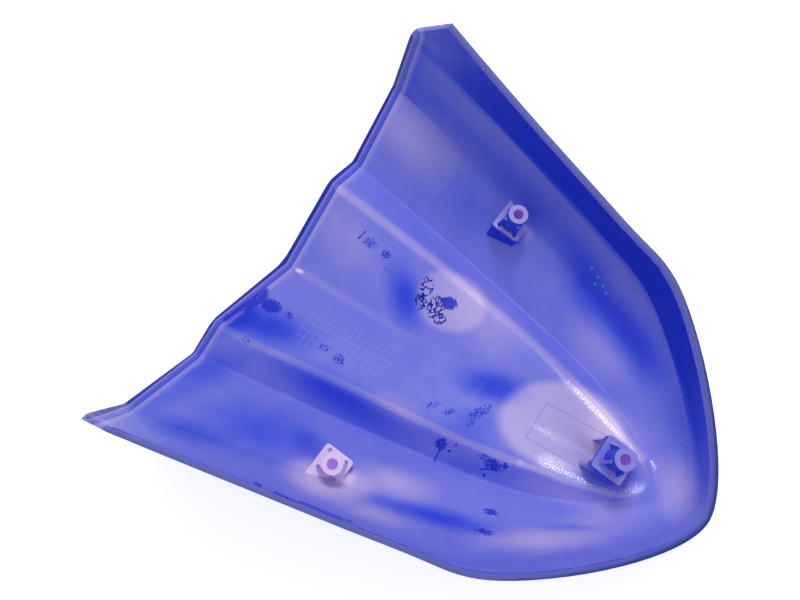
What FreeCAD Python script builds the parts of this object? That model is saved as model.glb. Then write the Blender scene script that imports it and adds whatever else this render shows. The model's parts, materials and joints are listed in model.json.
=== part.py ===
"""Headlight cover: a one-piece moulded shield, open side up, with three hollow screw bosses inside."""

import FreeCAD, Part
import math
import os

VECTOR = FreeCAD.Vector

doc = FreeCAD.newDocument("headlight_cover")
sheet = doc.addObject("Spreadsheet::Sheet", "sizes")

# Sizes in millimetres. Six lines shape one half of the shell, from the rim down to the middle:
# rim, fold (in the side wall), bend (wall to panel), foot and brow (of the step), keel (middle line).
# Each line runs almost straight from the wide end to its shoulder, then arches over to the nose.
# half: distance from the middle plane. reach: distance back from the rim at the nose.
# depth: distance below the back corner of the rim. end_cut: how much a line stops short of the full length.
# swell and lift: bow of the run, outwards and upwards. round: reach of the rounding along a line.
SIZES = [
    ("cover_length", 222.0),
    ("wall", 2.8),
    ("edge_round", 2.4),
    ("rim_end_cut", 21.3),
    ("rim_back_half", 108.3),
    ("rim_run_half", 72.9),
    ("rim_run_reach", 69.8),
    ("rim_run_depth", -5.8),
    ("rim_swell", 0.3),
    ("rim_lift", -2.4),
    ("rim_tip_depth", 1.2),
    ("rim_tip_handle", 21.3),
    ("fold_back_half", 112.1),
    ("fold_back_depth", 32.6),
    ("fold_run_half", 70.3),
    ("fold_run_reach", 73.1),
    ("fold_run_depth", 14.5),
    ("fold_swell", 1.3),
    ("fold_lift", 2.4),
    ("fold_tip_reach", 4.8),
    ("fold_tip_depth", 12.5),
    ("fold_tip_handle", 17.1),
    ("fold_round", 5.0),
    ("bend_back_half", 103.3),
    ("bend_back_depth", 70.8),
    ("bend_run_half", 58.1),
    ("bend_run_reach", 75.2),
    ("bend_run_depth", 34.3),
    ("bend_swell", 0.5),
    ("bend_lift", 4.4),
    ("bend_tip_reach", 13.3),
    ("bend_tip_depth", 18.4),
    ("bend_tip_handle", 12.9),
    ("bend_round_back", 1.2),
    ("bend_round_tip", 9.0),
    ("foot_end_cut", 3.3),
    ("foot_back_half", 66.2),
    ("foot_back_depth", 97.2),
    ("foot_run_half", 34.6),
    ("foot_run_reach", 70.2),
    ("foot_run_depth", 45.1),
    ("foot_swell", 1.4),
    ("foot_lift", -1.2),
    ("foot_tip_reach", 17.2),
    ("foot_tip_depth", 18.7),
    ("foot_tip_handle", 11.2),
    ("foot_round", 1.2),
    ("brow_end_cut", 1.7),
    ("brow_back_half", 47.8),
    ("brow_back_depth", 90.7),
    ("brow_run_half", 22.5),
    ("brow_run_reach", 70.2),
    ("brow_run_depth", 35.4),
    ("brow_swell", 1.8),
    ("brow_lift", 3.4),
    ("brow_tip_reach", 21.2),
    ("brow_tip_depth", 18.9),
    ("brow_tip_handle", 9.8),
    ("brow_round", 5.0),
    ("keel_end_cut", 7.2),
    ("keel_back_depth", 105.8),
    ("keel_run_reach", 75.7),
    ("keel_run_depth", 39.4),
    ("keel_lift", 7.2),
    ("keel_tip_reach", 36.4),
    ("keel_tip_depth", 31.1),
    ("keel_tip_handle", 13.0),
    ("keel_round", 7.0),
    ("tube_outer_diameter", 9.0),
    ("tube_bore_diameter", 4.6),
    ("rib_thickness", 1.4),
    ("rib_height", 8.5),
    ("rib_foot_span", 14.0),
    ("rib_head_span", 10.4),
    ("block_wall", 2.2),
    ("block_length", 14.2),
    ("block_back_margin", 7.0),
    ("block_corner_round", 1.4),
    ("side_boss_half", 68.6),
    ("side_boss_reach", 128.6),
    ("side_block_depth", 43.2),
    ("side_block_inner_margin", 6.2),
    ("side_block_outer_margin", 14.0),
    ("side_tube_height", 13.0),
    ("nose_boss_reach", 38.7),
    ("nose_block_depth", 14.0),
    ("nose_block_margin", 7.6),
    ("nose_tube_height", 11.3),
]
for number, (alias, value) in enumerate(SIZES, start=1):
    sheet.set(f"A{number}", alias)
    sheet.set(f"B{number}", str(value))
    sheet.setAlias(f"B{number}", alias)
doc.recompute()


def size(alias):
    """The value of one named cell."""
    return float(sheet.get(alias))


# Places along a line where the panels are measured: on the straight run, then on the arch to the nose.
RUN_STEPS = [0.0, 0.25, 0.5, 0.75, 0.91, 1.0]
ARCH_STEPS = [0.16, 0.33, 0.5, 0.65, 0.79, 0.91, 1.0]
RUN_SHARE = 0.71
KNOTS = [RUN_SHARE * step for step in RUN_STEPS]
KNOTS += [RUN_SHARE + (1.0 - RUN_SHARE) * step for step in ARCH_STEPS]
COUNT = len(KNOTS)
LAST = COUNT - 1
ACROSS = VECTOR(-1, 0, 0)

# Faces that one rounding is divided into across, which keeps the facets few: for the edge lip, then
# for the rounding of each line in turn from the fold to the keel. Every face also ends at the shoulder.
EDGE_PARTS = 2
FOLD_PARTS = 3
BEND_PARTS = 2
FOOT_PARTS = 3
BROW_PARTS = 4
KEEL_PARTS = 2
LINE_PARTS = [FOLD_PARTS, BEND_PARTS, FOOT_PARTS, BROW_PARTS, KEEL_PARTS]


def unit(vector):
    """The vector at length one."""
    return vector / vector.Length


def bezier(start, handle_start, handle_end, end, step):
    """A point of a cubic Bezier curve."""
    rest = 1.0 - step
    head = start * rest**3 + handle_start * (3 * step * rest**2)
    return head + handle_end * (3 * step**2 * rest) + end * step**3


def run_and_arch(back, shoulder, swell, end_handle, tip):
    """Points of one line: a slightly bowed run, then an arch to the tip that goes on at the same pace."""
    chord = shoulder - back
    points = [back + chord * step + swell * (4 * step * (1 - step)) for step in RUN_STEPS]
    handle = shoulder + (chord - swell * 4) * ((1 - RUN_SHARE) / (3 * RUN_SHARE))
    return points + [bezier(shoulder, handle, end_handle, tip, step) for step in ARCH_STEPS]


def side_line(name, back_reach, back_depth, tip_reach):
    """Points of a line that arches over to the middle plane and meets it squarely."""
    back = VECTOR(size(name + "_back_half"), -back_reach, -back_depth)
    shoulder = VECTOR(size(name + "_run_half"), -size(name + "_run_reach"), -size(name + "_run_depth"))
    swell = VECTOR(size(name + "_swell"), 0, size(name + "_lift"))
    tip = VECTOR(0, -tip_reach, -size(name + "_tip_depth"))
    end_handle = tip - ACROSS * size(name + "_tip_handle")
    return run_and_arch(back, shoulder, swell, end_handle, tip)


def panel_line(name, end_cut):
    """Points of a line below the rim."""
    back_reach = size("cover_length") - end_cut
    return side_line(name, back_reach, size(name + "_back_depth"), size(name + "_tip_reach"))


def keel_line():
    """Points of the middle line, which ends under the nose boss."""
    back = VECTOR(0, size("keel_end_cut") - size("cover_length"), -size("keel_back_depth"))
    shoulder = VECTOR(0, -size("keel_run_reach"), -size("keel_run_depth"))
    tip = VECTOR(0, -size("keel_tip_reach"), -size("keel_tip_depth"))
    brow_tip = VECTOR(0, -size("brow_tip_reach"), -size("brow_tip_depth"))
    end_handle = tip - unit(brow_tip - tip) * size("keel_tip_handle")
    swell = VECTOR(0, 0, size("keel_lift"))
    return run_and_arch(back, shoulder, swell, end_handle, tip)


def spline(points):
    """A smooth curve through the points of one line."""
    curve = Part.BSplineCurve()
    curve.interpolate(Points=points, Parameters=KNOTS)
    return curve


def headings(points):
    """Unit directions along a line at its measured places."""
    curve = spline(points)
    return [curve.tangent(knot)[0] for knot in KNOTS]


def outward(ruling, heading):
    """Unit normal of a panel, away from the inside of the shell."""
    return unit(ruling.cross(heading))


def flat(points):
    """The points with the last one exactly on the middle plane."""
    end = VECTOR(0, points[-1].y, points[-1].z)
    return points[:-1] + [end]


# The rim line is the outer top edge; its inner edge lies one wall inside it.
wall = size("wall")
rim_outer = side_line("rim", size("cover_length") - size("rim_end_cut"), 0, 0)
fold = panel_line("fold", 0)
rim_headings = headings(rim_outer)
rim_normals = [outward(fold[i] - rim_outer[i], rim_headings[i]) for i in range(COUNT)]
rim = flat([rim_outer[i] - rim_normals[i] * wall for i in range(COUNT)])
LINES = [
    rim,
    fold,
    panel_line("bend", 0),
    panel_line("foot", size("foot_end_cut")),
    panel_line("brow", size("brow_end_cut")),
    keel_line(),
]
KEEL = len(LINES) - 1
HEADINGS = [headings(line) for line in LINES]


def panel_normals(number, spot):
    """Normals of the panels before and after a line at one of its places."""
    point = LINES[number][spot]
    heading = ACROSS if spot == LAST else HEADINGS[number][spot]
    before = None
    after = None
    if number > 0:
        before = outward(point - LINES[number - 1][spot], heading)
    if number < KEEL:
        after = outward(LINES[number + 1][spot] - point, heading)
    if number == KEEL:
        after = VECTOR(-before.x, before.y, before.z)
    if number == 0:
        before = after
    return before, after


def offset_point(number, spot, distance):
    """The corner point of the skin that lies a distance outside the inner one."""
    before, after = panel_normals(number, spot)
    return LINES[number][spot] + (before + after) * (distance / (1 + before.dot(after)))


def round_share(number, spot):
    """How far the rounding of a line reaches onto the panels at its sides."""
    names = {1: "fold_round", 3: "foot_round", 4: "brow_round", 5: "keel_round"}
    if number in names:
        return size(names[number])
    blend = (spot / LAST) ** 2
    return size("bend_round_back") * (1 - blend) + size("bend_round_tip") * blend


def wall_need(number, spot):
    """The least rounding that still leaves the outer skin a rounding of its own."""
    before, after = panel_normals(number, spot)
    turn = math.acos(max(-1.0, min(1.0, before.dot(after))))
    return 1.25 * wall * math.tan(turn / 2)


def toward(point, target, distance):
    """A point part of the way to a target, at most 0.45 of it."""
    span = target - point
    return point + span * min(distance / span.Length, 0.45)


def rounding_points(number, spot):
    """Tangent points of a line's rounding on the panels before and after it."""
    point = LINES[number][spot]
    reach = round_share(number, spot)
    if number == 4:
        reach = max(reach, wall_need(number, spot))
    before = toward(point, LINES[number - 1][spot], reach)
    after = None
    if number < KEEL:
        after = toward(point, LINES[number + 1][spot], reach)
    return before, after


def set_back(points, number):
    """The points with the first one moved in from the wide end by the edge rounding."""
    first = points[0] + HEADINGS[number][0] * size("edge_round")
    return [first] + points[1:]


def skin_rows():
    """Rows of points for the inner skin, the end corner and the outer skin, strip by strip."""
    edge_round = size("edge_round")
    low = [rim[i] + unit(fold[i] - rim[i]) * edge_round for i in range(COUNT)]
    rows = [{"inner": set_back(low, 0), "corner": rim[0], "outer": rim_outer}]
    strips = []
    for number in range(1, KEEL + 1):
        ahead = [rounding_points(number, i) for i in range(COUNT)]
        normals = [panel_normals(number, i) for i in range(COUNT)]
        middle_outer = [offset_point(number, i, wall) for i in range(COUNT)]
        before = [pair[0] for pair in ahead]
        before_outer = [before[i] + normals[i][0] * wall for i in range(COUNT)]
        middle = LINES[number]
        if number == KEEL:
            crest = [VECTOR(0, (before[i].y + middle[i].y) / 2, (before[i].z + middle[i].z) / 2) for i in range(COUNT)]
            crest_outer = [
                VECTOR(0, (before_outer[i].y + middle_outer[i].y) / 2, (before_outer[i].z + middle_outer[i].z) / 2)
                for i in range(COUNT)
            ]
            middle = [(before[i] + middle[i]) / 2 for i in range(COUNT)]
            middle_outer = [(before_outer[i] + middle_outer[i]) / 2 for i in range(COUNT)]
            after = crest
            after_outer = crest_outer
        else:
            after = [pair[1] for pair in ahead]
            after_outer = [after[i] + normals[i][1] * wall for i in range(COUNT)]
        group = []
        for points, outer in ((before, before_outer), (middle, middle_outer), (after, after_outer)):
            row = {"inner": set_back(points, number), "corner": points[0], "outer": outer}
            group.append(row)
        strips.append([rows[-1], group[0]])
        strips.append(group)
        rows.append(group[-1])
    return strips


def divided(surface, parts_across, cuts):
    """Faces of one surface, divided evenly across and at the given places along."""
    faces = []
    for number in range(parts_across):
        for start, end in zip(cuts, cuts[1:]):
            part = surface.copy()
            part.segment(number / parts_across, (number + 1) / parts_across, start, end)
            faces.append(part.toShape())
    return faces


def patch(curves, parts_across):
    """Faces whose cross-section is a straight line or one rounding between the given curves."""
    degree = len(curves) - 1
    first = curves[0]
    surface = Part.BSplineSurface()
    surface.buildFromPolesMultsKnots(
        [curve.getPoles() for curve in curves],
        [degree + 1, degree + 1],
        first.getMultiplicities(),
        [0.0, 1.0],
        first.getKnots(),
        False,
        False,
        degree,
        first.Degree,
    )
    return divided(surface, parts_across, [0.0, RUN_SHARE, 1.0])


def end_patch(strip, parts_across):
    """The rounded edge of one strip at the wide end, from the inner skin to the outer one."""
    degree = len(strip) - 1
    poles = [[row["inner"][0], row["corner"], row["outer"][0]] for row in strip]
    surface = Part.BSplineSurface()
    mults = [degree + 1, degree + 1]
    surface.buildFromPolesMultsKnots(poles, mults, [3, 3], [0.0, 1.0], [0.0, 1.0], False, False, degree, 2)
    return divided(surface, parts_across, [part / EDGE_PARTS for part in range(EDGE_PARTS + 1)])


def both_halves(faces):
    """A closed solid from the faces of one half and their mirror images."""
    mirrored = [face.mirror(VECTOR(0, 0, 0), VECTOR(1, 0, 0)) for face in faces]
    skin = Part.makeShell(faces + mirrored)
    skin.sewShape()
    solid = Part.Solid(skin)
    if solid.Volume < 0:
        solid.reverse()
    return solid


def shell_solid():
    """The moulded wall: inner skin, outer skin and rounded edges."""
    strips = skin_rows()
    lip = [flat(strips[0][0]["inner"]), rim, rim_outer]
    faces = patch([spline(points) for points in lip], EDGE_PARTS)
    for number, strip in enumerate(strips):
        parts_across = LINE_PARTS[number // 2] if len(strip) > 2 else 1
        faces += patch([spline(flat(row["inner"])) for row in strip], parts_across)
        faces += patch([spline(flat(row["outer"])) for row in strip], parts_across)
        faces += end_patch(strip, parts_across)
    return both_halves(faces)


def inside_solid():
    """The space inside the shell, from the middle of its wall up to a roof, which trims the boss feet."""
    roof = [VECTOR(0, LINES[KEEL][i].y, size("cover_length") / 2) for i in range(COUNT)]
    rows = [flat([offset_point(number, i, wall / 2) for i in range(COUNT)]) for number in range(KEEL + 1)]
    curves = [spline(points) for points in rows]
    faces = patch([spline(roof), curves[0]], 1)
    for number in range(KEEL):
        faces += patch([curves[number], curves[number + 1]], 1)
        triangle = [roof[0], rows[number][0], rows[number + 1][0], roof[0]]
        faces.append(Part.Face(Part.makePolygon(triangle)))
    return both_halves(faces)


shell = doc.addObject("Part::Feature", "shell")
shell.Shape = shell_solid()
inside = doc.addObject("Part::Feature", "inside")
inside.Shape = inside_solid()


def bind(item, **expressions):
    """Tie properties of an object to the named sizes."""
    for target, expression in expressions.items():
        item.setExpression(target.replace("__", "."), expression)
    return item


def set_base(item, x, y, z):
    """Tie an object's position to the named sizes."""
    item.setExpression("Placement.Base.x", x)
    item.setExpression("Placement.Base.y", y)
    item.setExpression("Placement.Base.z", z)


def upright_edges(solid):
    """Numbers of the upright edges of a box."""
    edges = enumerate(solid.Edges, start=1)
    return [number for number, edge in edges if edge.BoundBox.ZLength > edge.Length / 2]


def boss(name, x, reach, depth, tube_height, low_margin, high_margin):
    """A hollow block open at the back, with a screw tube and four ribs on its top plate."""
    block_body = doc.addObject("PartDesign::Body", name + "_block_body")
    block = block_body.newObject("PartDesign::AdditiveBox", name + "_block")
    bind(block, Length=f"({low_margin}) + ({high_margin})", Width="sizes.block_length", Height="sizes.keel_back_depth")
    back = f"-({reach}) - sizes.block_back_margin"
    set_base(block_body, f"({x}) - ({low_margin})", back, f"-({depth}) - sizes.keel_back_depth")
    doc.recompute()
    corners = block_body.newObject("PartDesign::Fillet", name + "_block_corners")
    corners.Base = (block, [f"Edge{number}" for number in upright_edges(block.Shape)])
    bind(corners, Radius="min(sizes.block_corner_round; sizes.block_wall)")
    block_body.Tip = corners
    hollow = doc.addObject("Part::Box", name + "_hollow")
    bind(
        hollow,
        Length=f"({low_margin}) + ({high_margin}) - 2 * sizes.block_wall",
        Width="sizes.block_length",
        Height="sizes.keel_back_depth",
    )
    hollow_x = f"({x}) - ({low_margin}) + sizes.block_wall"
    set_base(hollow, hollow_x, f"{back} - sizes.block_wall", f"-({depth}) - sizes.keel_back_depth - sizes.block_wall")
    house = doc.addObject("Part::Cut", name + "_house")
    house.Base = block_body
    house.Tool = hollow
    tube = doc.addObject("Part::Cylinder", name + "_tube")
    bind(tube, Radius="sizes.tube_outer_diameter / 2", Height=f"({tube_height}) + sizes.block_wall / 2")
    set_base(tube, x, f"-({reach})", f"-({depth}) - sizes.block_wall / 2")
    parts = [house, tube]
    for label, angle in (("rib_one", 45), ("rib_two", 135)):
        rib = doc.addObject("Part::Wedge", f"{name}_{label}")
        bind(
            rib,
            Xmin="-sizes.rib_foot_span / 2",
            Xmax="sizes.rib_foot_span / 2",
            X2min="-sizes.rib_head_span / 2",
            X2max="sizes.rib_head_span / 2",
            Ymin="-sizes.block_wall / 2",
            Ymax="sizes.rib_height",
            Zmin="-sizes.rib_thickness / 2",
            Zmax="sizes.rib_thickness / 2",
            Z2min="-sizes.rib_thickness / 2",
            Z2max="sizes.rib_thickness / 2",
        )
        upright = FreeCAD.Rotation(VECTOR(1, 0, 0), 90)
        turned = FreeCAD.Rotation(VECTOR(0, 0, 1), angle)
        rib.Placement = FreeCAD.Placement(VECTOR(0, 0, 0), turned.multiply(upright))
        set_base(rib, x, f"-({reach})", f"-({depth})")
        parts.append(rib)
    bore = doc.addObject("Part::Cylinder", name + "_bore")
    bind(bore, Radius="sizes.tube_bore_diameter / 2", Height=f"({tube_height}) + 2 * sizes.block_wall")
    set_base(bore, x, f"-({reach})", f"-({depth}) - sizes.block_wall * 1.5")
    whole = doc.addObject("Part::MultiFuse", name + "_whole")
    whole.Shapes = parts
    seated = doc.addObject("Part::Common", name + "_boss")
    seated.Base = whole
    seated.Tool = inside
    return seated, bore


NEAR = "sizes.side_block_inner_margin"
FAR = "sizes.side_block_outer_margin"
MIDDLE = "sizes.nose_block_margin"
SIDE = ("sizes.side_boss_reach", "sizes.side_block_depth", "sizes.side_tube_height")
NOSE = ("sizes.nose_boss_reach", "sizes.nose_block_depth", "sizes.nose_tube_height")
BOSSES = [
    boss("left", "sizes.side_boss_half", *SIDE, NEAR, FAR),
    boss("right", "-sizes.side_boss_half", *SIDE, FAR, NEAR),
    boss("nose", "0", *NOSE, MIDDLE, MIDDLE),
]
moulding = doc.addObject("Part::MultiFuse", "moulding")
moulding.Shapes = [shell] + [seated for seated, bore in BOSSES]
bores = doc.addObject("Part::MultiFuse", "bores")
bores.Shapes = [bore for seated, bore in BOSSES]
cover = doc.addObject("Part::Cut", "headlight_cover")
cover.Base = moulding
cover.Tool = bores
cover.Label = "headlight_cover"
doc.recompute()


def resting_pitch(body):
    """Angle of the edge of the side view on which the centre of mass lies lowest."""
    points = sorted({(point.y, point.z) for point in body.tessellate(0.5)[0]})
    hull = []
    for y, z in points:
        point = VECTOR(0, y, z)
        while len(hull) > 1 and (hull[-1] - hull[-2]).cross(point - hull[-2]).x <= 0:
            hull.pop()
        hull.append(point)
    balance = body.Solids[0].CenterOfMass
    stands = []
    for start, end in zip(hull, hull[1:]):
        edge = end - start
        if 0 <= (balance - start).dot(edge) <= edge.dot(edge):
            height = edge.cross(balance - start).Length / edge.Length
            stands.append((height, math.degrees(math.atan2(edge.z, edge.y))))
    return min(stands)[1]


# The cover lies on its outer face: pitched onto its lowest edge, origin under the middle of its box.
level = FreeCAD.Rotation(VECTOR(1, 0, 0), -resting_pitch(cover.Shape))
cover.Placement = FreeCAD.Placement(VECTOR(0, 0, 0), level)
box = cover.Shape.optimalBoundingBox(False)
cover.Placement = FreeCAD.Placement(VECTOR(0, -box.Center.y, -box.ZMin), level)
doc.recompute()

for item in doc.Objects:
    if "Invalid" in item.State or "Error" in item.State:
        raise RuntimeError(f"{item.Name} failed: {item.State}")
shape = cover.Shape
if shape.isNull() or not shape.isValid():
    raise RuntimeError("headlight_cover has no valid shape")
if len(shape.Solids) != 1:
    raise RuntimeError(f"headlight_cover has {len(shape.Solids)} solids")

os.makedirs("parts", exist_ok=True)
shape.exportStep("parts/headlight_cover.step")
print("volume", round(shape.Volume), "faces", len(shape.Faces), "box", shape.optimalBoundingBox(False))
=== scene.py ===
"""Looks of the headlight cover: gloss blue paint outside, pale moulding with overspray, stains and some
painted highlights and shade inside.
"""

import json
import math

import bpy
from mathutils import Matrix, Vector


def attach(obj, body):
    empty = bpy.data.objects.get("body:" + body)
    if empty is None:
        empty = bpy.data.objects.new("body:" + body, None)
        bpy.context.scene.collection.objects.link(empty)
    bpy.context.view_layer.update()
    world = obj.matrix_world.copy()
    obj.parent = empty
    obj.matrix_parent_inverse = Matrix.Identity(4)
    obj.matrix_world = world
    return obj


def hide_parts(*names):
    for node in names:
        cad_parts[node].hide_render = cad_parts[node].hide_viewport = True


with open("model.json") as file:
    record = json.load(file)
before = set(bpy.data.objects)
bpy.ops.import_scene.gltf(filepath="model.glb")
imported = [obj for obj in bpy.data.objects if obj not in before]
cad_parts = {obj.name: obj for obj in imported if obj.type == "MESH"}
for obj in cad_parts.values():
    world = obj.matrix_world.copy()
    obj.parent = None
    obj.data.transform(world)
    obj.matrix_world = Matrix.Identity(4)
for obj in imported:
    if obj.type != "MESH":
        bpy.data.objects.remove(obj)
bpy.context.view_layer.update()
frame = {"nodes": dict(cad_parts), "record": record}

# Main view, in the row frame, in metres. Marks inside the cover are laid out as they are seen from here.
VIEW_PLACE = Vector((0.07136, 0.10499, 0.32769))
VIEW_RIGHT = Vector((-0.59212, 0.77809, -0.20971))
VIEW_UP = Vector((-0.77108, -0.47143, 0.42801))
VIEW_BACK = Vector((0.23417, 0.41513, 0.87911))
PICTURE_WIDE = 800.0
PICTURE_HIGH = 600.0
FOCAL_POINTS = 740.0
SENSOR_MM = 36.0
CLIP_START = 0.01

# A point above the open side, which sees all of the inside and none of the outside.
ABOVE = (0.0, -0.03, 0.6)

# The moulding's own upward direction, the middle of its rim, and directions across the cover, on the level
# and down the picture.
UPRIGHT = tuple(frame["record"]["mounts"][0]["axis"])
RIM_MIDDLE = (0.0, -0.01, 0.0)
ACROSS = (1.0, 0.0, 0.0)
LEVEL = (1.0, 1.0, 0.0)
PICTURE_DOWN = (0.0, 1.0, 0.0)

PALE = (0.46, 0.395, 0.77)
HALF_BLUE = (0.155, 0.178, 0.74)
FULL_BLUE = (0.043, 0.078, 0.72)
DEEP_BLUE = (0.013, 0.040, 0.62)
STAIN_BLUE = (0.006, 0.020, 0.55)
CHALK = (0.80, 0.64, 0.92)
INK_BLUE = (0.006, 0.012, 0.28)
LIP_BLUE = (0.105, 0.122, 0.43)
BAND_BLUE = (0.100, 0.118, 0.62)
EDGE_BLUE = (0.012, 0.026, 0.34)
HOLE_PURPLE = (0.30, 0.14, 0.66)
GLOW_PINK = (0.46, 0.24, 0.62)
SPECK_CYAN = (0.10, 0.45, 0.80)
PAINT_BLUE = (0.007, 0.020, 0.40)
PAINT_LIGHT = (0.012, 0.030, 0.50)
WHITE = (1.0, 1.0, 1.0)
FLOOR_WHITE = (0.86, 0.86, 0.87)

# Light from all around, the light of the plain background, and what the floor adds where it is seen plainly.
WORLD_LIGHT = 0.48
PLAIN_LIGHT = 1.0
FLOOR_GLOW = 0.62
FLOOR_HALF = 4.0

# Rays that show the surroundings: straight from the camera, mirrored or through glass.
PLAIN_RAYS = ("Is Camera Ray", "Is Glossy Ray", "Is Transmission Ray")

# Soft lights: name, place, the point they are aimed at, size in metres and power in watts.
LAMPS = [
    ("key", (-0.38, -0.07, 0.83), (0.0, 0.0, 0.03), 0.24, 3.3),
    ("fill", (0.10, 0.55, 0.62), (0.0, 0.05, 0.03), 0.50, 0.9),
]

# The middle of values that run from 0 to 1.
HALF = 0.5

# Ovals are turned in steps of so many degrees, and look the same after half a turn.
TURN_STEP = 15
HALF_TURN = 180

# The share of a stroke's width that has the full amount.
STROKE_CORE = 0.25


class Graph:
    """Short ways to add shader nodes to a material or the world."""

    def __init__(self, owner):
        owner.use_nodes = True
        self.tree = owner.node_tree
        self.tree.nodes.clear()
        self.turned = {}

    def put(self, socket, value):
        """Link a socket to another, or set its value."""
        if isinstance(value, bpy.types.NodeSocket):
            self.tree.links.new(value, socket)
        elif isinstance(value, tuple) and socket.type == "RGBA":
            socket.default_value = value + (1.0,)
        else:
            socket.default_value = value

    def add(self, kind, inputs=(), **settings):
        """A node with settings, and inputs given by name or number."""
        made = self.tree.nodes.new(kind)
        for name, value in settings.items():
            setattr(made, name, value)
        for name, value in dict(inputs).items():
            self.put(made.inputs[name], value)
        return made

    def calc(self, operation, first, second=0.0):
        """Arithmetic on one or two numbers."""
        return self.add("ShaderNodeMath", {0: first, 1: second}, operation=operation).outputs[0]

    def times(self, first, second):
        """One number multiplied by another."""
        return self.calc("MULTIPLY", first, second)

    def plus(self, first, second):
        """One number added to another."""
        return self.calc("ADD", first, second)

    def minus(self, first, second):
        """One number less another."""
        return self.calc("SUBTRACT", first, second)

    def rest(self, share):
        """What a share leaves of the whole."""
        return self.minus(1.0, share)

    def apart(self, first, second):
        """How far two numbers are apart."""
        return self.calc("ABSOLUTE", self.minus(first, second))

    def vector(self, operation, first, second=(0.0, 0.0, 0.0)):
        """Arithmetic on vectors that gives a vector."""
        return self.add("ShaderNodeVectorMath", {0: first, 1: second}, operation=operation).outputs["Vector"]

    def dot(self, first, second):
        """How far one vector reaches along another."""
        made = self.add("ShaderNodeVectorMath", {0: first, 1: second}, operation="DOT_PRODUCT")
        return made.outputs["Value"]

    def length(self, first):
        """Length of a vector."""
        return self.add("ShaderNodeVectorMath", {0: first}, operation="LENGTH").outputs["Value"]

    def ease(self, value, start, stop, low=0.0, high=1.0):
        """A smooth change from low to high while value goes from start to stop."""
        inputs = {"Value": value, "From Min": start, "From Max": stop, "To Min": low, "To Max": high}
        return self.add("ShaderNodeMapRange", inputs, interpolation_type="SMOOTHSTEP").outputs["Result"]

    def noise(self, where, scale, detail, roughness):
        """Soft random values from 0 to 1."""
        inputs = {"Vector": where, "Scale": scale, "Detail": detail, "Roughness": roughness}
        return self.add("ShaderNodeTexNoise", inputs).outputs["Fac"]

    def sway(self, where, kind, reach):
        """Soft random values on both sides of zero."""
        return self.times(self.minus(self.noise(where, *kind), HALF), reach)

    def join(self, x, y, z=0.0):
        """A vector from three numbers."""
        return self.add("ShaderNodeCombineXYZ", {"X": x, "Y": y, "Z": z}).outputs["Vector"]

    def mix(self, share, first, second):
        """A colour between two others."""
        made = self.add("ShaderNodeMix", data_type="RGBA")
        self.put(made.inputs["Factor"], share)
        self.put(made.inputs[6], first)
        self.put(made.inputs[7], second)
        return made.outputs[2]

    def ramp(self, value, stops):
        """Colours along a number."""
        made = self.add("ShaderNodeValToRGB", {"Fac": value})
        elements = made.color_ramp.elements
        while len(elements) < len(stops):
            elements.new(HALF)
        for element, (position, colour) in zip(elements, stops):
            element.position = position
            element.color = colour + (1.0,)
        return made.outputs["Color"]

    def axes(self, plane, angle):
        """Picture places seen from axes turned by an angle."""
        along = self.dot(plane, (math.cos(angle), math.sin(angle), 0.0))
        aside = self.dot(plane, (-math.sin(angle), math.cos(angle), 0.0))
        return self.join(along, aside)

    def turn(self, plane, degrees):
        """Picture places seen from axes turned to the nearest step. Equal turns share their nodes."""
        degrees = TURN_STEP * round(degrees / TURN_STEP) % HALF_TURN
        key = (plane, degrees)
        if key not in self.turned:
            self.turned[key] = self.axes(plane, math.radians(degrees))
        return self.turned[key], Matrix.Rotation(-math.radians(degrees), 2)

    def patch(self, plane, centre, halves, turn, core, amount=1.0):
        """A soft oval: the amount inside its core, zero outside its edge."""
        seen, turning = self.turn(plane, turn)
        middle = turning @ Vector(centre)
        scale = (1.0 / halves[0], 1.0 / halves[1], 0.0)
        shift = (-middle.x / halves[0], -middle.y / halves[1], 0.0)
        away = self.add("ShaderNodeVectorMath", {0: seen, 1: scale, 2: shift}, operation="MULTIPLY_ADD")
        return self.ease(self.length(away.outputs["Vector"]), 1.0, core, 0.0, amount)

    def off_line(self, plane, start, end):
        """Distance from the straight line between two picture places."""
        reach = Vector(end) - Vector(start)
        angle = math.atan2(reach.y, reach.x)
        middle = Matrix.Rotation(-angle, 2) @ ((Vector(start) + Vector(end)) / 2)
        seen = self.vector("SUBTRACT", self.axes(plane, angle), (middle.x, middle.y, 0.0))
        beyond = self.vector("SUBTRACT", self.vector("ABSOLUTE", seen), (reach.length / 2, 0.0, 0.0))
        return self.length(self.vector("MAXIMUM", beyond))

    def bar(self, plane, start, end, half_width, amount=1.0):
        """A straight stroke from one picture place to another."""
        distance = self.off_line(plane, start, end)
        return self.ease(distance, half_width, STROKE_CORE * half_width, 0.0, amount)

    def gather(self, operation, values):
        """Several numbers joined one by one, as they are made."""
        result = None
        for value in values:
            result = value if result is None else self.calc(operation, result, value)
        return result

    def most(self, values):
        """The largest of several numbers."""
        return self.gather("MAXIMUM", values)

    def total(self, values):
        """The sum of several numbers."""
        return self.gather("ADD", values)

    def ovals(self, plane, places, core):
        """The largest of several soft ovals."""
        return self.most(
            self.patch(plane, centre, (half, wide), turn, core)
            for centre, half, wide, turn in places
        )


def view_plane(graph, position):
    """Picture place of a point in the main view, in picture points from the top left corner."""
    away = graph.vector("SUBTRACT", position, tuple(VIEW_PLACE))
    depth = graph.dot(away, tuple(-VIEW_BACK))
    across = graph.calc("DIVIDE", graph.dot(away, tuple(VIEW_RIGHT * FOCAL_POINTS)), depth)
    down = graph.calc("DIVIDE", graph.dot(away, tuple(-VIEW_UP * FOCAL_POINTS)), depth)
    return graph.join(graph.plus(across, PICTURE_WIDE / 2), graph.plus(down, PICTURE_HIGH / 2))
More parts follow.
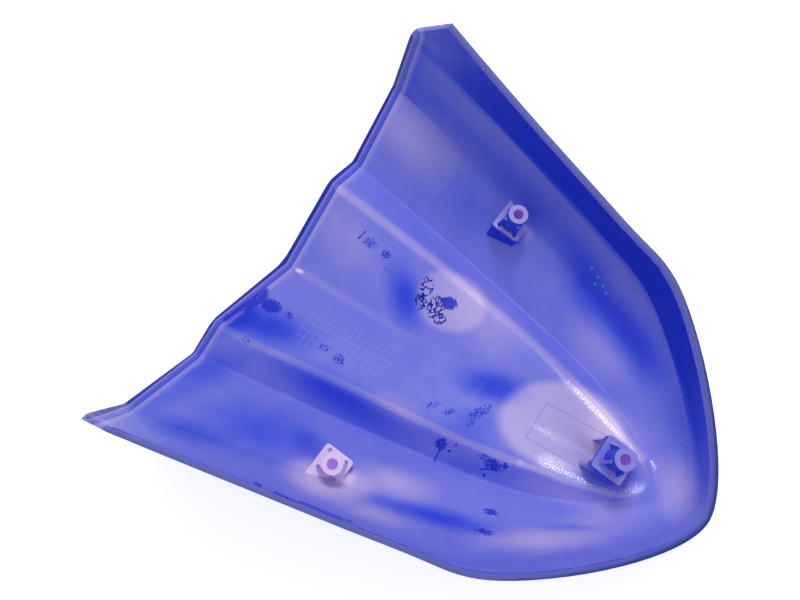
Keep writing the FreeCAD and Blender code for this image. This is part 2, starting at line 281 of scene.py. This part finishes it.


# In what follows, a noise is its scale, detail and roughness. A range is where a change starts, where it is
# complete and, if they aren't 0 and 1, the values at both. Facing goes from -1 (down) to 1 (up).

# Overspray, with one painted highlight among it: picture place, half length, half width, turn in degrees, how
# much bluer (or paler) it is, and the share of the patch that has the full amount.
SPRAY_AND_HIGHLIGHT = [
    ((520, 190), 150, 30, 50, 0.22, 0.0),
    ((455, 120), 70, 12, 50, 0.08, 0.0),
    ((592, 288), 84, 34, 54, 0.34, 0.0),
    ((638, 345), 70, 34, 62, 0.34, 0.0),
    ((412, 136), 84, 40, 52, -0.20, 0.0),
    ((470, 205), 60, 44, 40, 0.12, 0.0),
    ((600, 350), 60, 32, 50, -0.16, 0.0),
    ((345, 235), 70, 40, 60, -0.14, 0.0),
    ((404, 296), 52, 26, 70, 0.36, 0.0),
    ((450, 302), 40, 34, 20, -0.28, 0.7),
    ((484, 318), 70, 42, 45, -0.20, 0.0),
    ((492, 386), 56, 24, 20, 0.40, 0.0),
    ((562, 428), 70, 50, 8, -0.42, 0.75),
    ((612, 440), 56, 42, 45, -0.28, 0.0),
    ((266, 326), 72, 26, 18, 0.40, 0.0),
    ((236, 318), 44, 20, -34, 0.30, 0.0),
    # This small chalk-white spot is a painted highlight where the keel crease starts.
    ((299.5, 271), 7, 3, 30, -0.80, 0.2),
    ((340, 398), 110, 26, 26, 0.32, 0.0),
    ((480, 470), 80, 14, 18, 0.12, 0.0),
    ((400, 408), 40, 16, 25, -0.14, 0.0),
    ((468, 425), 50, 26, 30, 0.20, 0.0),
    ((205, 372), 60, 24, -20, 0.24, 0.0),
    ((262, 432), 92, 40, 22, 0.24, 0.0),
    ((180, 428), 70, 18, 15, 0.25, 0.0),
    ((330, 482), 60, 24, 22, -0.56, 0.3),
    ((160, 400), 70, 14, -14, 0.12, 0.0),
    ((680, 415), 70, 28, 80, 0.14, 0.0),
    ((312, 446), 30, 20, 30, 0.16, 0.0),
    ((396, 484), 60, 22, 22, -0.40, 0.0),
    ((372, 514), 56, 12, 18, -0.30, 0.0),
    ((440, 517), 92, 13, 15, 0.32, 0.0),
    ((440, 62), 50, 30, 50, -0.16, 0.0),
    ((532, 540), 88, 18, 4, -0.36, 0.0),
    ((600, 522), 74, 26, -8, -0.18, 0.0),
    ((570, 527), 50, 5, 2, 0.16, 0.0),
    ((675, 488), 50, 34, 70, -0.32, 0.0),
    ((560, 494), 80, 14, 12, -0.18, 0.0),
]

# Noises of the overspray and how far they reach, the blue that is all over, and a gain for all patches.
DRIFT = (22.0, 2.0, 0.55)
DRIFT_REACH = 16.0
CLOUD = (60.0, 3.0, 0.55)
CLOUD_REACH = 0.14
MIST = (1600.0, 2.0, 0.7)
MIST_REACH = 0.16
SPRAY_BASE = 0.46
SPRAY_GAIN = 1.15

# Steep faces that look across the cover, turned from the key light, are bluer and darker: overspray and
# painted shade together, and less so toward the nose.
STEEP = (0.34, 0.14)
LOOKS_ACROSS = (0.10, 0.70, 0.0, 0.60)
TOWARD_NOSE = (330.0, 480.0, 1.0, 0.35)

# Paler lines along creases: painted highlights, and on the brows less overspray as well. Picture places in
# turn, each with how much paler the line is from there.
RIGHT_BROW = [
    (338, 188, 0.24),
    (433, 260, 0.26),
    (520, 332, 0.26),
    (571, 380, 0.30),
    (610, 421, 0.30),
    (642, 458, 0.0),
]
LEFT_BROW = [
    (208, 321, 0.16),
    (270, 351, 0.20),
    (335, 380, 0.20),
    (392, 407, 0.20),
    (465, 442, 0.22),
    (520, 463, 0.0),
]
LEFT_BROW_FRONT = [(520, 463, 0.26), (565, 480, 0.28), (612, 494, 0.0)]
KEEL = [(299, 271, 0.12), (335, 292, 0.09), (372, 314, 0.06), (410, 337, 0.03), (446, 356, 0.0)]

# The half width of each of those lines, in picture points.
RIDGE_HIGHLIGHTS = [(7.0, RIGHT_BROW), (6.0, LEFT_BROW), (5.0, LEFT_BROW_FRONT), (6.0, KEEL)]

# Colours of the inside by how blue it is, and where it turns chalky.
SPRAY_COLOURS = [(0.0, PALE), (0.5, HALF_BLUE), (0.8, FULL_BLUE), (1.0, DEEP_BLUE)]
CHALKY = (0.0, -0.45)

# Flaked stains: picture place, half length, half width, turn, and how closely the flakes lie.
STAINS = [
    ((370, 243), 15, 9, 30, 0.45),
    ((386, 255), 10, 8, 60, 0.47),
    ((387, 271), 12, 8, 45, 0.37),
    ((271, 306), 17, 11, 15, 0.58),
    ((289, 316), 9, 7, 30, 0.47),
    ((246, 340), 9, 6, 15, 0.42),
    ((278, 363), 9, 6, 15, 0.36),
    ((325, 348), 13, 7, 15, 0.44),
    ((339, 359), 12, 10, 45, 0.47),
    ((434, 405), 15, 7, -15, 0.43),
    ((449, 412), 13, 6, -15, 0.45),
    ((480, 412), 24, 10, -30, 0.46),
    ((470, 424), 8, 10, 15, 0.45),
    ((441, 444), 10, 10, 0, 0.56),
    ((493, 465), 17, 10, 30, 0.51),
    ((484, 457), 11, 6, 15, 0.45),
    ((505, 466), 5, 6, 15, 0.52),
    ((456, 445), 2, 2, 0, 0.66),
    ((449, 451), 2, 2, 0, 0.66),
    ((484, 475), 2, 2, 0, 0.66),
    ((491, 512), 13, 5, 15, 0.52),
    ((485, 532), 18, 5, 15, 0.48),
    ((449, 303), 13, 10, 15, 0.60),
]

# Noise of the flakes, how far a stain spreads and how much of it is evenly close, and what makes a flake.
FLAKES = (1000.0, 5.0, 0.78)
STAIN_SPREAD = 1.3
STAIN_CORE = 0.25
FLAKE_EDGE = (0.92, 0.98)
STAIN_SHARE = 0.92

# Straight runs of paint: start, end, half width.
STREAKS = [
    ((255, 483), (261, 486), 1.9),
    ((275, 492.4), (297, 502.8), 2.0),
    ((299, 501.4), (343, 519.4), 1.8),
    ((346, 520), (352, 522.2), 1.5),
    ((441, 448), (434, 461), 1.6),
    ((358.5, 238.5), (365.5, 231.5), 1.3),
    ((480, 469.4), (492, 469), 1.2),
    ((226, 319), (266, 291), 4.5),
    ((246, 308), (264, 296), 6.5),
]

# How far the runs are frayed across and down the picture, and where they break.
FRAY_ACROSS = 6.0
FRAY_DOWN = 4.0
RUN_BREAKS = (0.34, 0.46)

# Ink-like squiggles: picture place, half length, half width, turn.
SQUIGGLES = [
    ((427, 286), 8, 11, 20),
    ((421, 301), 7, 11, 10),
    ((436, 308), 10, 14, 10),
    ((439, 319), 8, 6, 0),
]

# Noise that the squiggles follow, how thin they are, and the share of each place that they fill.
LOOPS = (400.0, 2.0, 0.5)
LOOP_EDGE = (0.080, 0.048)
LOOP_CORE = 0.8

# Faint lines left by the mould: start and end, their half width and how strongly they show.
MOULD_LINES = [
    ((431, 207), (459, 174)),
    ((456, 222), (484, 234)),
    ((251, 440), (273, 408)),
    ((273, 408), (308, 432)),
    ((526, 437), (547, 403)),
    ((547, 403), (607, 436)),
    ((526, 437), (583, 470)),
]
MOULD_LINE_HALF = 0.9
MOULD_LINE_SHARE = 0.36

# A plain ruled grid: one corner, its long and short sides, its cells along them, its lines by the share of a
# cell, how far it reaches from its middle with its outer lines, and how strongly it shows.
GRID_CORNER = (317.4, 308.9)
GRID_LONG = (84.7, 42.3)
GRID_SHORT = (-25.5, 31.1)
GRID_CELLS = (13, 5)
GRID_LINE = (0.10, 0.03)
GRID_REACH = 0.503
GRID_SHARE = 0.17

# Small bright specks: picture places, half sizes, even core and how strongly they show.
CYAN_SPECKS = [(592, 268), (598, 277), (603, 286), (606, 293), (595, 284)]
SPECK_HALVES = (2.0, 2.0)
SPECK_CORE = 0.3
SPECK_SHARE = 0.6

# Lip along the rim: heights between which it starts, its facing, the side of the cover that has a line inside
# it, the share of the lip where that line is, the line's width, and how far out the dark outer line looks.
RIM_RISE = (0.0552, 0.0582)
LIP_FACING = (0.25, 0.80)
LIP_SIDE = (0.0, 0.03)
LIP_LINE_PLACE = 0.45
LIP_LINE = (0.40, 0.05, 0.0, 0.8)
LOOKS_OUT = (0.20, 0.55, 0.0, 0.9)

# The edge of the wide end, as it is seen: picture places in turn.
END_EDGE = [
    (88, 417),
    (125, 404),
    (192, 352),
    (213, 319),
    (284, 262),
    (331, 181),
    (354, 161),
    (393, 86),
    (411, 36),
]

# Lip of the wide end, by the distance from that edge: pale strip, painted shade in the groove, band, painted
# highlight line and outer line.
END_STRIP = (16.0, 10.5, 0.0, 0.45)
END_GROOVE_SHADE = (9.6, 8.6)
END_BAND = (8.0, 7.0)
END_HIGHLIGHT_PLACE = 3.6
END_HIGHLIGHT = (1.2, 0.2, 0.0, 0.4)
END_OUTER = (2.8, 1.6)

# How much bluer each boss is on its top faces and on its sides, where the bluer sides are painted shade, and
# the strength of a painted glow at its hole in place of light through the plastic.
BOSSES = {
    "left_screw_hole": (-0.95, -0.85, 0.62),
    "right_screw_hole": (-0.30, 0.42, 0.14),
    "nose_screw_hole": (-0.10, 0.34, 0.20),
}

# Bosses, in metres from their holes: bore, surroundings, the block's reach and the height at which it starts.
# Then the facing of their top faces, of their sides and of what is still boss and not the cover's outside.
BORE_RADIUS = 0.0024
BOSS_RADIUS = 0.019
BLOCK_REACH = (0.0135, 0.0095)
BLOCK_RISE = (-0.0105, -0.0075)
BOSS_TOP = (0.55, 0.90)
BOSS_SIDE = (0.22, 0.08)
BOSS_FACING = (-0.30, -0.15)

# Where the moulding is glossy and finely speckled: picture place, half length, half width, turn.
GLOSS = [
    ((558, 469), 30, 15, 35),
    ((630, 487), 22, 18, -45),
    ((650, 466), 9, 7, 45),
    ((557, 474), 75, 5, 18),
    ((600, 413), 84, 7, 46),
    ((560, 440), 40, 6, 27),
    ((340, 190), 10, 5, 40),
]
GLOSS_CORE = 0.4

# Surface of the moulding: waves, grain, roughness and shine, and how the glossy places differ in them.
WAVES = (60.0, 2.0, 0.55)
WAVE_BUMP = {"Strength": 0.05, "Distance": 0.002}
GRAIN = (1400.0, 2.0, 0.55)
GRAIN_DEPTH = 0.0004
GRAIN_STRENGTH = 0.06
GLOSS_GRAIN = 0.42
SHEEN = (130.0, 3.0, 0.55)
ROUGHNESS = (0.3, 0.7, 0.36, 0.48)
GLOSS_SMOOTHER = 0.27
SHINE = 0.14
GLOSS_SHINE = 0.86

# Paint outside: fine unevenness, flecks of a lighter blue, its gloss, and which faces turn away from above.
PEEL = (260.0, 2.0, 0.55)
PEEL_BUMP = {"Strength": 0.015, "Distance": 0.001}
FLECKS = (1800.0, 1.0, 0.55)
FLECK_EDGE = (0.35, 0.65)
PAINT_GLOSS = {"Roughness": 0.28, "Specular IOR Level": 0.15, "Coat Weight": 1.0, "Coat Roughness": 0.05}
TURNED_AWAY = (0.12, -0.05)


def spray_and_painted_light(graph, plane, position, normal, bosses):
    """How blue the inside is: zero is bare, one is fully covered, below zero is chalky. Painted highlights
    along the creases and painted shade on steep faces are part of it.
    """
    wander = graph.sway(position, DRIFT, DRIFT_REACH)
    shifted = graph.vector("ADD", plane, graph.join(wander, wander))
    cloud = graph.sway(position, CLOUD, CLOUD_REACH)
    mist = graph.sway(position, MIST, MIST_REACH)
    base = graph.plus(graph.plus(cloud, mist), SPRAY_BASE)
    spots = graph.total(
        graph.patch(shifted, centre, (half, wide), turn, core, amount * SPRAY_GAIN)
        for centre, half, wide, turn, amount, core in SPRAY_AND_HIGHLIGHT
    )
    # Painted highlights along the creases, with less overspray on the brows, make these lines paler.
    for half, places in RIDGE_HIGHLIGHTS:
        ridge_highlight = graph.most(
            graph.bar(plane, start[:2], end[:2], half, start[2])
            for start, end in zip(places, places[1:])
        )
        spots = graph.minus(spots, ridge_highlight)
    # Painted shade, on top of overspray: steep faces that look across the cover are made bluer and darker.
    steep = graph.ease(graph.dot(normal, UPRIGHT), *STEEP)
    across = graph.dot(normal, ACROSS)
    spray_and_shade_facet = graph.times(steep, graph.ease(across, *LOOKS_ACROSS))
    toward_nose = graph.ease(graph.dot(plane, PICTURE_DOWN), *TOWARD_NOSE)
    spray_and_shade_facet = graph.times(spray_and_shade_facet, toward_nose)
    marks = graph.times(graph.plus(spots, spray_and_shade_facet), graph.rest(bosses["on"]))
    return graph.plus(graph.plus(base, bosses["tint"]), marks)


def stains(graph, plane, position):
    """Where flakes and runs of paint sit."""
    flakes = graph.noise(position, *FLAKES)
    close = graph.most(
        graph.patch(plane, centre, (half * STAIN_SPREAD, wide * STAIN_SPREAD), turn, STAIN_CORE, closeness)
        for centre, half, wide, turn, closeness in STAINS
    )
    flaked = graph.ease(graph.plus(flakes, close), *FLAKE_EDGE)
    spread = graph.minus(flakes, HALF)
    frayed = graph.join(graph.times(spread, FRAY_ACROSS), graph.times(spread, FRAY_DOWN))
    frayed = graph.vector("ADD", plane, frayed)
    runs = graph.most(graph.bar(frayed, start, end, half) for start, end, half in STREAKS)
    runs = graph.times(runs, graph.ease(flakes, *RUN_BREAKS))
    return graph.calc("MAXIMUM", flaked, runs)


def squiggles(graph, plane, position):
    """Where thin inky loops run."""
    loops = graph.ease(graph.apart(graph.noise(position, *LOOPS), HALF), *LOOP_EDGE)
    return graph.times(loops, graph.ovals(plane, SQUIGGLES, LOOP_CORE))


def grid_lines(graph, plane):
    """The ruled lines of the grid."""
    shift = graph.vector("SUBTRACT", plane, GRID_CORNER + (0.0,))
    area = GRID_LONG[0] * GRID_SHORT[1] - GRID_LONG[1] * GRID_SHORT[0]
    along = graph.dot(shift, (GRID_SHORT[1] / area, -GRID_SHORT[0] / area, 0.0))
    aside = graph.dot(shift, (-GRID_LONG[1] / area, GRID_LONG[0] / area, 0.0))
    lines = []
    within = []
    for share, cells in zip((along, aside), GRID_CELLS):
        place = graph.calc("PINGPONG", graph.times(share, cells), HALF)
        lines.append(graph.ease(place, *GRID_LINE))
        inputs = {0: share, 1: HALF, 2: GRID_REACH}
        within.append(graph.add("ShaderNodeMath", inputs, operation="COMPARE").outputs[0])
    return graph.times(graph.most(lines), graph.times(*within))


def rim_lip(graph, position, normal, boss, colour):
    """The colour with the lip along the rim: soft strip, dark outer line, and on one side a line in it."""
    height = graph.dot(position, UPRIGHT)
    raised = graph.ease(height, *RIM_RISE)
    raised = graph.times(raised, graph.rest(boss))
    facing = graph.dot(normal, UPRIGHT)
    strip = graph.times(raised, graph.ease(facing, *LIP_FACING))
    colour = graph.mix(strip, colour, LIP_BLUE)
    one_side = graph.ease(graph.dot(position, ACROSS), *LIP_SIDE)
    beside = graph.ease(graph.apart(strip, LIP_LINE_PLACE), *LIP_LINE)
    colour = graph.mix(graph.times(beside, one_side), colour, FULL_BLUE)
    level = graph.vector("SUBTRACT", position, RIM_MIDDLE)
    level = graph.vector("MULTIPLY", level, LEVEL)
    outward = graph.dot(normal, graph.vector("NORMALIZE", level))
    return graph.mix(graph.times(raised, graph.ease(outward, *LOOKS_OUT)), colour, EDGE_BLUE)


def end_lip(graph, plane, colour):
    """The colour with the narrow lip of the wide end: outer line, band, painted shade in the groove, a
    painted highlight line, and a pale strip inside.
    """
    inset = graph.gather("MINIMUM", (graph.off_line(plane, *pair) for pair in zip(END_EDGE, END_EDGE[1:])))
    colour = graph.mix(graph.ease(inset, *END_STRIP), colour, PALE)
    # Painted shade in the crease at the foot of the bead.
    colour = graph.mix(graph.ease(inset, *END_GROOVE_SHADE), colour, FULL_BLUE)
    colour = graph.mix(graph.ease(inset, *END_BAND), colour, BAND_BLUE)
    # Painted highlight along the top edge of the bead.
    colour = graph.mix(graph.ease(graph.apart(inset, END_HIGHLIGHT_PLACE), *END_HIGHLIGHT), colour, PALE)
    return graph.mix(graph.ease(inset, *END_OUTER), colour, EDGE_BLUE)


def near_mounts(graph, position, normal):
    """What a point has to do with the bosses: near or on one, in a bore, its painted glow, how much bluer it
    is, with painted shade on the sides.
    """
    facing = graph.dot(normal, UPRIGHT)
    top = graph.ease(facing, *BOSS_TOP)
    side = graph.ease(facing, *BOSS_SIDE)
    face = graph.calc("MAXIMUM", top, side)
    near = []
    on_boss = []
    bores = []
    glows = []
    tints = []
    for mount in frame["record"]["mounts"]:
        top_tint, side_tint_and_shade, glow = BOSSES[mount["name"]]
        away = graph.vector("SUBTRACT", position, tuple(mount["pos_m"]))
        close = graph.calc("LESS_THAN", graph.length(away), BOSS_RADIUS)
        off_axis = graph.length(graph.vector("CROSS_PRODUCT", away, tuple(mount["axis"])))
        along = graph.dot(away, tuple(mount["axis"]))
        raised = graph.ease(along, *BLOCK_RISE)
        block = graph.times(raised, graph.ease(off_axis, *BLOCK_REACH))
        # Bluer boss sides are painted shade on the ribs and the block's sides.
        tint = graph.plus(graph.times(top, top_tint), graph.times(side, side_tint_and_shade))
        on_boss.append(graph.times(block, face))
        tints.append(graph.times(block, tint))
        bores.append(graph.times(close, graph.calc("LESS_THAN", off_axis, BORE_RADIUS)))
        glows.append(graph.times(bores[-1], glow))
        near.append(close)
    return {
        "near": graph.most(near),
        "on": graph.most(on_boss),
        "bore": graph.most(bores),
        "glow": graph.total(glows),
        "tint": graph.total(tints),
    }


def inside_colour(graph, plane, position, normal, bosses):
    """Colour of the bare moulding with everything that lies on it, and with painted highlights and shade."""
    spray_and_light = spray_and_painted_light(graph, plane, position, normal, bosses)
    colour = graph.ramp(spray_and_light, SPRAY_COLOURS)
    colour = graph.mix(graph.ease(spray_and_light, *CHALKY), colour, CHALK)
    colour = end_lip(graph, plane, colour)
    colour = graph.mix(graph.times(grid_lines(graph, plane), GRID_SHARE), colour, PALE)
    scored = graph.most(graph.bar(plane, start, end, MOULD_LINE_HALF) for start, end in MOULD_LINES)
    colour = graph.mix(graph.times(scored, MOULD_LINE_SHARE), colour, FULL_BLUE)
    colour = graph.mix(graph.times(stains(graph, plane, position), STAIN_SHARE), colour, STAIN_BLUE)
    colour = graph.mix(squiggles(graph, plane, position), colour, INK_BLUE)
    specks = graph.most(graph.patch(plane, speck, SPECK_HALVES, 0.0, SPECK_CORE) for speck in CYAN_SPECKS)
    colour = graph.mix(graph.times(specks, SPECK_SHARE), colour, SPECK_CYAN)
    colour = rim_lip(graph, position, normal, bosses["near"], colour)
    return graph.mix(bosses["bore"], colour, HOLE_PURPLE)


def moulding(graph, plane, position, colour, glow):
    """The bare moulding: slightly wavy and grained, with glossy speckled places and a painted glow in the
    bores.
    """
    grain = graph.noise(position, *GRAIN)
    waves = graph.noise(position, *WAVES)
    shine = graph.ovals(plane, GLOSS, GLOSS_CORE)
    wavy = graph.add("ShaderNodeBump", {**WAVE_BUMP, "Height": waves})
    bump = graph.add(
        "ShaderNodeBump",
        {
            "Strength": graph.plus(graph.times(shine, GLOSS_GRAIN), GRAIN_STRENGTH),
            "Distance": GRAIN_DEPTH,
            "Height": grain,
            "Normal": wavy.outputs["Normal"],
        },
    )
    rough = graph.ease(graph.noise(position, *SHEEN), *ROUGHNESS)
    return graph.add(
        "ShaderNodeBsdfPrincipled",
        {
            "Base Color": colour,
            "Roughness": graph.minus(rough, graph.times(shine, GLOSS_SMOOTHER)),
            "Specular IOR Level": graph.plus(graph.times(shine, GLOSS_SHINE), SHINE),
            # Painted glow: the bores give off pink light in place of light through the plastic.
            "Emission Color": GLOW_PINK,
            "Emission Strength": glow,
            "Normal": bump.outputs["Normal"],
        },
    )


def paint(graph, position):
    """The gloss paint of the outside."""
    peel = graph.noise(position, *PEEL)
    bump = graph.add("ShaderNodeBump", {**PEEL_BUMP, "Height": peel})
    tone = graph.ease(graph.noise(position, *FLECKS), *FLECK_EDGE)
    colour = graph.mix(tone, PAINT_BLUE, PAINT_LIGHT)
    inputs = {"Base Color": colour, **PAINT_GLOSS, "Normal": bump.outputs["Normal"]}
    return graph.add("ShaderNodeBsdfPrincipled", inputs)


def painted(graph, position, normal, boss):
    """One on the outside of the cover, zero on its inside and on the bosses."""
    toward = graph.vector("NORMALIZE", graph.vector("SUBTRACT", ABOVE, position))
    outside = graph.ease(graph.dot(normal, toward), *TURNED_AWAY)
    moulded = graph.times(boss, graph.ease(graph.dot(normal, UPRIGHT), *BOSS_FACING))
    return graph.times(outside, graph.rest(moulded))


def finish_material():
    """One finish for the whole moulding: paint outside, bare moulding with overspray and painted highlights
    and shade inside.
    """
    material = bpy.data.materials.new("cover_finish")
    graph = Graph(material)
    position = graph.add("ShaderNodeTexCoord").outputs["Object"]
    normal = graph.add("ShaderNodeNewGeometry").outputs["Normal"]
    plane = view_plane(graph, position)
    bosses = near_mounts(graph, position, normal)
    colour = inside_colour(graph, plane, position, normal, bosses)
    inside = moulding(graph, plane, position, colour, bosses["glow"])
    outside = paint(graph, position)
    share = painted(graph, position, normal, bosses["near"])
    blend = graph.add("ShaderNodeMixShader", {0: share, 1: inside.outputs[0], 2: outside.outputs[0]})
    graph.add("ShaderNodeOutputMaterial", {"Surface": blend.outputs[0]})
    material.cycles.emission_sampling = "NONE"
    return material


def cover_piece():
    """The cover's shown mesh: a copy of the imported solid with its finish."""
    source = frame["nodes"]["headlight_cover"]
    mesh = source.data.copy()
    mesh.name = "cover_shown"
    piece = bpy.data.objects.new("cover", mesh)
    bpy.context.scene.collection.objects.link(piece)
    mesh.materials.clear()
    mesh.materials.append(finish_material())
    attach(piece, "root")
    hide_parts("headlight_cover")


def seen_plainly(graph):
    """One for rays that show the surroundings, zero for those that light the cover."""
    path = graph.add("ShaderNodeLightPath")
    return graph.most(path.outputs[name] for name in PLAIN_RAYS)


def floor_piece():
    """A plain white floor that keeps a soft shadow."""
    mesh = bpy.data.meshes.new("floor")
    corners = [
        (-FLOOR_HALF, -FLOOR_HALF, 0.0),
        (FLOOR_HALF, -FLOOR_HALF, 0.0),
        (FLOOR_HALF, FLOOR_HALF, 0.0),
        (-FLOOR_HALF, FLOOR_HALF, 0.0),
    ]
    mesh.from_pydata(corners, [], [(0, 1, 2, 3)])
    floor = bpy.data.objects.new("floor", mesh)
    bpy.context.scene.collection.objects.link(floor)
    material = bpy.data.materials.new("floor_white")
    graph = Graph(material)
    white = graph.add("ShaderNodeBsdfDiffuse", {"Color": FLOOR_WHITE})
    glow = graph.times(seen_plainly(graph), FLOOR_GLOW)
    plain = graph.add("ShaderNodeEmission", {"Color": WHITE, "Strength": glow})
    blend = graph.add("ShaderNodeAddShader", {0: white.outputs[0], 1: plain.outputs[0]})
    graph.add("ShaderNodeOutputMaterial", {"Surface": blend.outputs[0]})
    material.cycles.emission_sampling = "NONE"
    mesh.materials.append(material)


def lamp(name, place, target, size, power):
    """A square soft light aimed at a point."""
    light = bpy.data.lights.new(name, "AREA")
    light.shape = "SQUARE"
    light.size = size
    light.energy = power
    item = bpy.data.objects.new(name, light)
    item.location = place
    item.rotation_euler = (Vector(target) - Vector(place)).to_track_quat("-Z", "Y").to_euler()
    bpy.context.scene.collection.objects.link(item)


def surroundings():
    """Soft studio light and a white background."""
    world = bpy.data.worlds.new("studio")
    bpy.context.scene.world = world
    graph = Graph(world)
    soft = graph.add("ShaderNodeBackground", {"Color": WHITE, "Strength": WORLD_LIGHT})
    white = graph.add("ShaderNodeBackground", {"Color": WHITE, "Strength": PLAIN_LIGHT})
    plainly = seen_plainly(graph)
    blend = graph.add("ShaderNodeMixShader", {0: plainly, 1: soft.outputs[0], 2: white.outputs[0]})
    graph.add("ShaderNodeOutputWorld", {"Surface": blend.outputs[0]})
    for settings in LAMPS:
        lamp(*settings)


def main_camera():
    """The main view."""
    camera = bpy.data.cameras.new("main_view")
    camera.sensor_width = SENSOR_MM
    camera.lens = FOCAL_POINTS * SENSOR_MM / PICTURE_WIDE
    item = bpy.data.objects.new("main_view", camera)
    turn = Matrix((VIEW_RIGHT, VIEW_UP, VIEW_BACK)).transposed().to_4x4()
    item.matrix_world = Matrix.Translation(VIEW_PLACE) @ turn
    camera.clip_start = CLIP_START
    bpy.context.scene.collection.objects.link(item)
    bpy.context.scene.camera = item


cover_piece()
floor_piece()
surroundings()
main_camera()
bpy.context.scene.view_settings.view_transform = "Standard"
